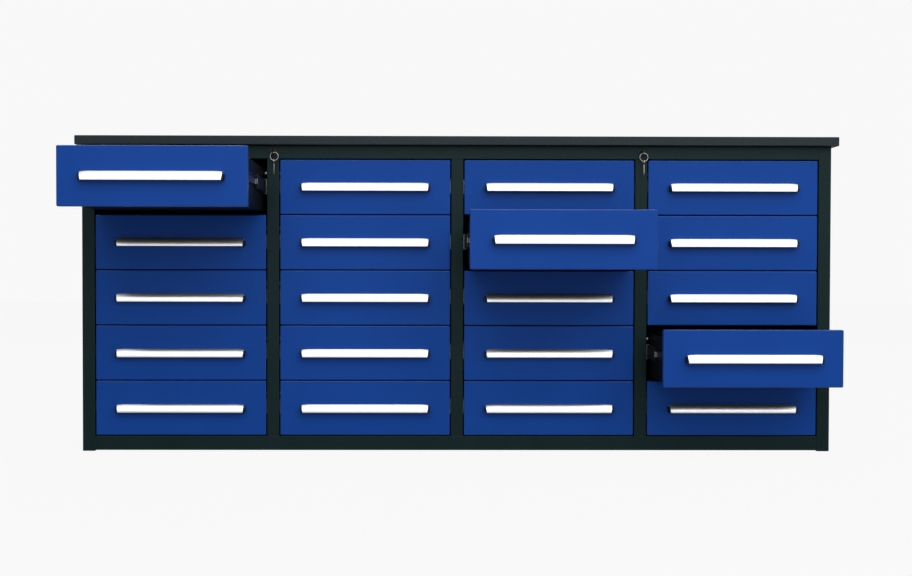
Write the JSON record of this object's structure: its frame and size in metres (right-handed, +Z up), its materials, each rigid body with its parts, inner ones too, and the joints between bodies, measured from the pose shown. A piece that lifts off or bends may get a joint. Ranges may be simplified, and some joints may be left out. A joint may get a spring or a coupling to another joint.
{
  "type": "workbench with drawers",
  "caption": "Wide steel workbench with columns of full-extension drawers, hooked bar handles, two key locks and a flat worktop; three drawers stand open.",
  "frame": {"origin": "on the floor, under the centre of the carcass footprint, on the underside of the middle foot", "axes": "+X along the bench to the right as seen from the front, +Y from the drawer fronts to the back, +Z up"},
  "size_m": [2.305, 1.082, 0.954],
  "materials": {
    "frame_paint": "satin black powder coat",
    "worktop_paint": "charcoal powder coat",
    "worktop_board": "pressed board",
    "drawer_paint": "satin royal blue powder coat",
    "handle_aluminium": "satin anodised",
    "lock_nickel": "nickel plated",
    "zinc": "zinc plated"
  },
  "bodies": {
    "cabinet": {"left_side_panel": "frame_paint", "right_side_panel": "frame_paint", "divider_1": "frame_paint", "divider_2": "frame_paint", "divider_3": "frame_paint", "back_panel": "frame_paint", "base_panel": "frame_paint", "bottom_rail": "frame_paint", "top_rail": "frame_paint", "mid_foot": "frame_paint", "worktop_core": "worktop_board", "worktop_cover": "worktop_paint", "lock_barrel_1": "lock_nickel", "lock_barrel_2": "lock_nickel"},
    "drawer_c1r1_body": {"drawer_c1r1": "drawer_paint", "handle_c1r1": "handle_aluminium"},
    "drawer_c1r2_body": {"drawer_c1r2": "drawer_paint", "handle_c1r2": "handle_aluminium"},
    "drawer_c1r3_body": {"drawer_c1r3": "drawer_paint", "handle_c1r3": "handle_aluminium"},
    "drawer_c1r4_body": {"drawer_c1r4": "drawer_paint", "handle_c1r4": "handle_aluminium"},
    "drawer_c1r5_body": {"drawer_c1r5": "drawer_paint", "handle_c1r5": "handle_aluminium"},
    "drawer_c2r1_body": {"drawer_c2r1": "drawer_paint", "handle_c2r1": "handle_aluminium"},
    "drawer_c2r2_body": {"drawer_c2r2": "drawer_paint", "handle_c2r2": "handle_aluminium"},
    "drawer_c2r3_body": {"drawer_c2r3": "drawer_paint", "handle_c2r3": "handle_aluminium"},
    "drawer_c2r4_body": {"drawer_c2r4": "drawer_paint", "handle_c2r4": "handle_aluminium"},
    "drawer_c2r5_body": {"drawer_c2r5": "drawer_paint", "handle_c2r5": "handle_aluminium"},
    "drawer_c3r1_body": {"drawer_c3r1": "drawer_paint", "handle_c3r1": "handle_aluminium"},
    "drawer_c3r2_body": {"drawer_c3r2": "drawer_paint", "handle_c3r2": "handle_aluminium"},
    "drawer_c3r3_body": {"drawer_c3r3": "drawer_paint", "handle_c3r3": "handle_aluminium"},
    "drawer_c3r4_body": {"drawer_c3r4": "drawer_paint", "handle_c3r4": "handle_aluminium"},
    "drawer_c3r5_body": {"drawer_c3r5": "drawer_paint", "handle_c3r5": "handle_aluminium"},
    "drawer_c4r1_body": {"drawer_c4r1": "drawer_paint", "handle_c4r1": "handle_aluminium"},
    "drawer_c4r2_body": {"drawer_c4r2": "drawer_paint", "handle_c4r2": "handle_aluminium"},
    "drawer_c4r3_body": {"drawer_c4r3": "drawer_paint", "handle_c4r3": "handle_aluminium"},
    "drawer_c4r4_body": {"drawer_c4r4": "drawer_paint", "handle_c4r4": "handle_aluminium"},
    "drawer_c4r5_body": {"drawer_c4r5": "drawer_paint", "handle_c4r5": "handle_aluminium"},
    "lock_bar_1_body": {"lock_bar_1": "zinc"},
    "lock_key_1_body": {"lock_key_1": "lock_nickel"},
    "lock_bar_2_body": {"lock_bar_2": "zinc"},
    "lock_key_2_body": {"lock_key_2": "lock_nickel"}
  },
  "joints": [
    {"name": "drawer_c1r1_slide", "type": "slide", "parent": "cabinet", "child": "drawer_c1r1_body", "axis": [0, -1, 0], "range_m": [-0.443, 0.057]},
    {"name": "drawer_c1r2_slide", "type": "slide", "parent": "cabinet", "child": "drawer_c1r2_body", "axis": [0, -1, 0], "range_m": [0, 0.5]},
    {"name": "drawer_c1r3_slide", "type": "slide", "parent": "cabinet", "child": "drawer_c1r3_body", "axis": [0, -1, 0], "range_m": [0, 0.5]},
    {"name": "drawer_c1r4_slide", "type": "slide", "parent": "cabinet", "child": "drawer_c1r4_body", "axis": [0, -1, 0], "range_m": [0, 0.5]},
    {"name": "drawer_c1r5_slide", "type": "slide", "parent": "cabinet", "child": "drawer_c1r5_body", "axis": [0, -1, 0], "range_m": [0, 0.5]},
    {"name": "drawer_c2r1_slide", "type": "slide", "parent": "cabinet", "child": "drawer_c2r1_body", "axis": [0, -1, 0], "range_m": [0, 0.5]},
    {"name": "drawer_c2r2_slide", "type": "slide", "parent": "cabinet", "child": "drawer_c2r2_body", "axis": [0, -1, 0], "range_m": [0, 0.5]},
    {"name": "drawer_c2r3_slide", "type": "slide", "parent": "cabinet", "child": "drawer_c2r3_body", "axis": [0, -1, 0], "range_m": [0, 0.5]},
    {"name": "drawer_c2r4_slide", "type": "slide", "parent": "cabinet", "child": "drawer_c2r4_body", "axis": [0, -1, 0], "range_m": [0, 0.5]},
    {"name": "drawer_c2r5_slide", "type": "slide", "parent": "cabinet", "child": "drawer_c2r5_body", "axis": [0, -1, 0], "range_m": [0, 0.5]},
    {"name": "drawer_c3r1_slide", "type": "slide", "parent": "cabinet", "child": "drawer_c3r1_body", "axis": [0, -1, 0], "range_m": [0, 0.5]},
    {"name": "drawer_c3r2_slide", "type": "slide", "parent": "cabinet", "child": "drawer_c3r2_body", "axis": [0, -1, 0], "range_m": [-0.391, 0.109]},
    {"name": "drawer_c3r3_slide", "type": "slide", "parent": "cabinet", "child": "drawer_c3r3_body", "axis": [0, -1, 0], "range_m": [0, 0.5]},
    {"name": "drawer_c3r4_slide", "type": "slide", "parent": "cabinet", "child": "drawer_c3r4_body", "axis": [0, -1, 0], "range_m": [0, 0.5]},
    {"name": "drawer_c3r5_slide", "type": "slide", "parent": "cabinet", "child": "drawer_c3r5_body", "axis": [0, -1, 0], "range_m": [0, 0.5]},
    {"name": "drawer_c4r1_slide", "type": "slide", "parent": "cabinet", "child": "drawer_c4r1_body", "axis": [0, -1, 0], "range_m": [0, 0.5]},
    {"name": "drawer_c4r2_slide", "type": "slide", "parent": "cabinet", "child": "drawer_c4r2_body", "axis": [0, -1, 0], "range_m": [0, 0.5]},
    {"name": "drawer_c4r3_slide", "type": "slide", "parent": "cabinet", "child": "drawer_c4r3_body", "axis": [0, -1, 0], "range_m": [0, 0.5]},
    {"name": "drawer_c4r4_slide", "type": "slide", "parent": "cabinet", "child": "drawer_c4r4_body", "axis": [0, -1, 0], "range_m": [-0.256, 0.244]},
    {"name": "drawer_c4r5_slide", "type": "slide", "parent": "cabinet", "child": "drawer_c4r5_body", "axis": [0, -1, 0], "range_m": [0, 0.5]},
    {"name": "lock_bar_1_lift", "type": "slide", "parent": "cabinet", "child": "lock_bar_1_body", "axis": [0, 0, 1], "range_m": [0, 0.012]},
    {"name": "lock_key_1_turn", "type": "hinge", "parent": "cabinet", "child": "lock_key_1_body", "pos_m": [-0.558, -0.3, 0.907], "axis": [0, 1, 0], "range_deg": [0, 90]},
    {"name": "lock_bar_2_lift", "type": "slide", "parent": "cabinet", "child": "lock_bar_2_body", "axis": [0, 0, 1], "range_m": [0, 0.012]},
    {"name": "lock_key_2_turn", "type": "hinge", "parent": "cabinet", "child": "lock_key_2_body", "pos_m": [0.558, -0.3, 0.907], "axis": [0, 1, 0], "range_deg": [0, 90]}
  ],
  "couplings": [
    {"joint": "lock_key_1_turn", "follows": "lock_bar_1_lift", "rad_per_m": 130.9},
    {"joint": "lock_key_2_turn", "follows": "lock_bar_2_lift", "rad_per_m": 130.9}
  ]
}
